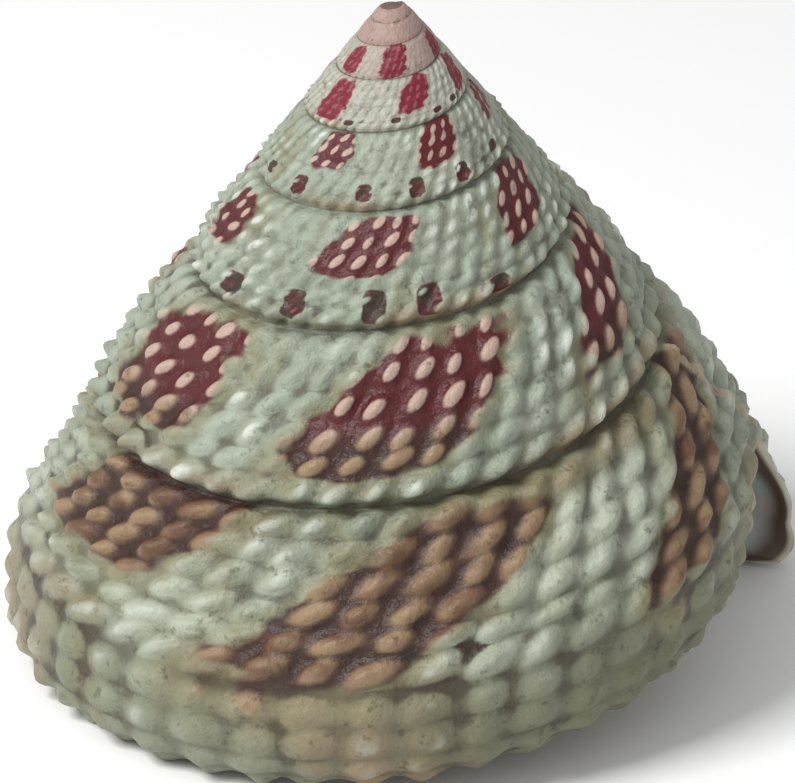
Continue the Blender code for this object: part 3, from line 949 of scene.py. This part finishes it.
def with_wear_and_shade(coat, colour):
    """The colour with dark patches between beads, painted shadow along the sutures, the pale crest and two
    sizes of specks.
    """
    # Dark patches in the gaps between the beads, mostly low on each whorl and on the later whorls.
    pitted = coat.side.smooth(*PITTED_SIDES) + coat.turn.smooth(*PITTED_TURNS) * 0.4
    pitted = pitted * coat.noise(coat.in_beads, PATCH_SCALE, 2.0).smooth(0.46, 0.60)
    pitted = pitted * (1.0 - coat.side.smooth(*EDGE_SIDES) * 0.3)
    pits = pitted * (1.0 - (coat.height + coat.ragged * 0.3).smooth(0.02, 0.16))
    colour = coat.mix(pits * 0.75, colour, PIT)
    # Painted shadow along each suture, under the beads that hang over it.
    seam = 1.0 - coat.side.smooth(*SUTURE_SHADOW_SIDES)
    seam = seam + coat.side.smooth(*NEXT_SUTURE_SHADOW_SIDES) * (1.0 - coat.turn.smooth(*SEWN_TURNS))
    colour = coat.mix(seam * coat.clouds.smooth(0.36, 0.62) * 0.7, colour, PIT)
    colour = coat.mix(coat.attribute("growth_crest").smooth(0.35, 0.8) * 0.75, colour, CREST)
    dirt = coat.noise(coat.where, DIRT_SCALE, 5.0, 0.7).smooth(0.58, 0.72)
    colour = coat.mix(dirt * 0.5, colour, FURROW_SHADE_AND_DIRT, "MULTIPLY")
    specks = coat.noise(coat.where, SPECK_SCALE, 3.0, 0.65).smooth(0.58, 0.70)
    return coat.mix(specks * 0.45, colour, FURROW_SHADE_AND_DIRT, "MULTIPLY")


# %% [markdown]
# ### The coat as a whole
# The layers are laid in order: ground, flames, then wear and painted shade. The gloss is uneven as the
# clouds are, and a bump gives the fine roughness that is too small for the mesh.

# %% Paint the outer surface
LUMP_SCALE = 420.0
FINE_SCALE = 2300.0
BUMP_STRENGTH = 0.8
BUMP_DEPTH = 0.42 * MM
SHINE = 0.45


def paint_outer():
    """Colour from the layers above, uneven gloss, and a bump of lumps, grain and fine grain."""
    coat = ShellCoat()
    ground = ground_between_beads(coat, ground_tones(coat))
    coat.give(coat.shader.inputs["Base Color"], with_wear_and_shade(coat, with_flames(coat, ground)))
    coat.give(coat.shader.inputs["Roughness"], 0.34 + coat.clouds * 0.28)
    coat.shader.inputs["Specular IOR Level"].default_value = SHINE
    fine = coat.noise(coat.where, FINE_SCALE, 4.0)
    rough = coat.grain * 0.5 + fine * 0.42 + coat.noise(coat.where, LUMP_SCALE, 2.0)
    inputs = {"Strength": BUMP_STRENGTH, "Distance": BUMP_DEPTH, "Height": rough}
    coat.give(coat.shader.inputs["Normal"], coat.node("ShaderNodeBump", {}, inputs))
    return coat.material


outer.data.materials.append(paint_outer())
print("nodes in the shell's material:", len(outer.data.materials[0].node_tree.nodes))

# %% [markdown]
# ### The mouth's colours
# The lip's rim is pale with brown stains, then comes a dark brown border, partly the lip's brown inner
# face and partly painted shade, and further in it turns to mother of pearl: a smooth, faintly pink and
# green lining.

# %% Paint the mouth
PEARL_PINK = srgb(226, 214, 214)
PEARL_GREEN = srgb(206, 222, 212)
LIP_PALE = srgb(206, 200, 178)
LIP_STAIN = srgb(120, 104, 78)
LIP_BROWN_AND_SHADE = srgb(74, 58, 40)
PEARL_SCALE = 210.0
LIP_STAIN_SCALE = 500.0
PEARL_COAT = 0.3


def paint_mouth():
    """Three zones, by how far inwards a point lies: rim, dark border that is partly painted shade, and
    pearl, which is smoother.
    """
    graph = Graph("mother of pearl")
    where = graph.node("ShaderNodeTexCoord", {}, {}, "Object")
    inwards = graph.attribute("inwards")
    pearl = graph.mix(graph.noise(where, PEARL_SCALE, 2.0).smooth(0.38, 0.62), PEARL_PINK, PEARL_GREEN)
    rim = graph.mix(graph.noise(where, LIP_STAIN_SCALE).smooth(0.4, 0.7), LIP_PALE, LIP_STAIN)
    # Painted shade, in part: the dark brown border just inside the rim.
    rim = graph.mix(inwards.smooth(0.008, 0.030), rim, LIP_BROWN_AND_SHADE)
    graph.give(graph.shader.inputs["Base Color"], graph.mix(inwards.smooth(0.05, 0.13), rim, pearl))
    graph.give(graph.shader.inputs["Roughness"], 0.45 - inwards.smooth(0.03, 0.2) * 0.25)
    graph.shader.inputs["Coat Weight"].default_value = PEARL_COAT
    return graph.material


mouth.data.materials.append(paint_mouth())
print("nodes in the mouth's material:", len(mouth.data.materials[0].node_tree.nodes))

# %% [markdown]
# ## Both pieces on the shell
# Nothing moves, so both pieces ride on the one body. The outer surface takes the measured shell's place,
# and the mouth is added to it.

# %% Both pieces on the shell
for piece in (outer, mouth):
    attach(piece, "root")
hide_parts("shell")
print("pieces on the shell:", outer.name, "and", mouth.name)

# %% [markdown]
# ## Light, floor and camera
# A pale floor and a broad soft light from the upper left, as in a studio. The floor lies a hair below
# the rubbed rim, so that the two don't share a plane.

# %% Floor and light
FLOOR_HALF = 1.2
FLOOR_HEIGHT = -0.02 * MM
FLOOR_TONE = (0.97, 0.97, 0.97, 1)
FLOOR_ROUGHNESS = 0.9
SKY_STRENGTH = 0.58
KEY_PLACE = Vector((-0.17, -0.11, 0.24))
KEY_SIZE = 0.12
KEY_WATTS = 0.78

corners = [(x * FLOOR_HALF, y * FLOOR_HALF, FLOOR_HEIGHT) for x, y in ((-1, -1), (1, -1), (1, 1), (-1, 1))]
floor = add_piece("floor", corners, [(0, 1, 2, 3)])
floor_graph = Graph("pale floor")
floor_graph.shader.inputs["Base Color"].default_value = FLOOR_TONE
floor_graph.shader.inputs["Roughness"].default_value = FLOOR_ROUGHNESS
floor.data.materials.append(floor_graph.material)

world = bpy.data.worlds.new("studio")
world.use_nodes = True
world.node_tree.nodes["Background"].inputs["Color"].default_value = (1, 1, 1, 1)
world.node_tree.nodes["Background"].inputs["Strength"].default_value = SKY_STRENGTH
bpy.context.scene.world = world

key = bpy.data.objects.new("key", bpy.data.lights.new("key", "AREA"))
key.data.size = KEY_SIZE
key.data.energy = KEY_WATTS
key.location = KEY_PLACE
key.rotation_euler = (-KEY_PLACE).to_track_quat("-Z", "Y").to_euler()
bpy.context.scene.collection.objects.link(key)
bpy.context.scene.view_settings.view_transform = "Standard"
print("key light at", [round(value, 3) for value in KEY_PLACE])

# %% [markdown]
# ### The camera
# It looks down on the front from about six shell widths away. Its place was found in the shell's own
# axis frame, so it is worked out there and then moved and leaned with the shell. One pixel of the
# picture is a known length on the shell. The aim is given in such pixels from the cone's point, where
# the sides would meet above the worn tip.

# %% Camera
PIXEL = 0.0445 * MM
PICTURE_WIDTH = 795
DISTANCE = 5000 * PIXEL
AIM_RIGHT = 7.8 * PIXEL
AIM_DOWN = 409.5 * PIXEL
ELEVATION = math.radians(26.6)
ROLL = math.radians(2.1)
CLIP_START = 0.01


def add_camera():
    """A camera at its distance from the cone's point, whose lens shows the picture's width at the aim."""
    towards = Vector((0, -math.cos(ELEVATION), math.sin(ELEVATION)))
    level, sunk = Vector((1, 0, 0)), Vector((0, -math.sin(ELEVATION), -math.cos(ELEVATION)))
    right = level * math.cos(ROLL) + sunk * math.sin(ROLL)
    down = sunk * math.cos(ROLL) - level * math.sin(ROLL)
    place = STAND @ (towards * DISTANCE)
    aim = STAND @ (right * AIM_RIGHT + down * AIM_DOWN)
    back = (place - aim).normalized()
    across = (-(STAND.to_3x3() @ down)).cross(back).normalized()
    data = bpy.data.cameras.new("camera")
    data.lens = (place - aim).length / (PICTURE_WIDTH * PIXEL) * data.sensor_width
    data.clip_start = CLIP_START
    camera = bpy.data.objects.new("camera", data)
    axes = Matrix((across, back.cross(across), back)).transposed().to_4x4()
    camera.matrix_world = Matrix.Translation(place) @ axes
    bpy.context.scene.collection.objects.link(camera)
    return camera


camera = add_camera()
bpy.context.scene.camera = camera
print("camera at", [round(value, 4) for value in camera.location], "lens", round(camera.data.lens, 1))
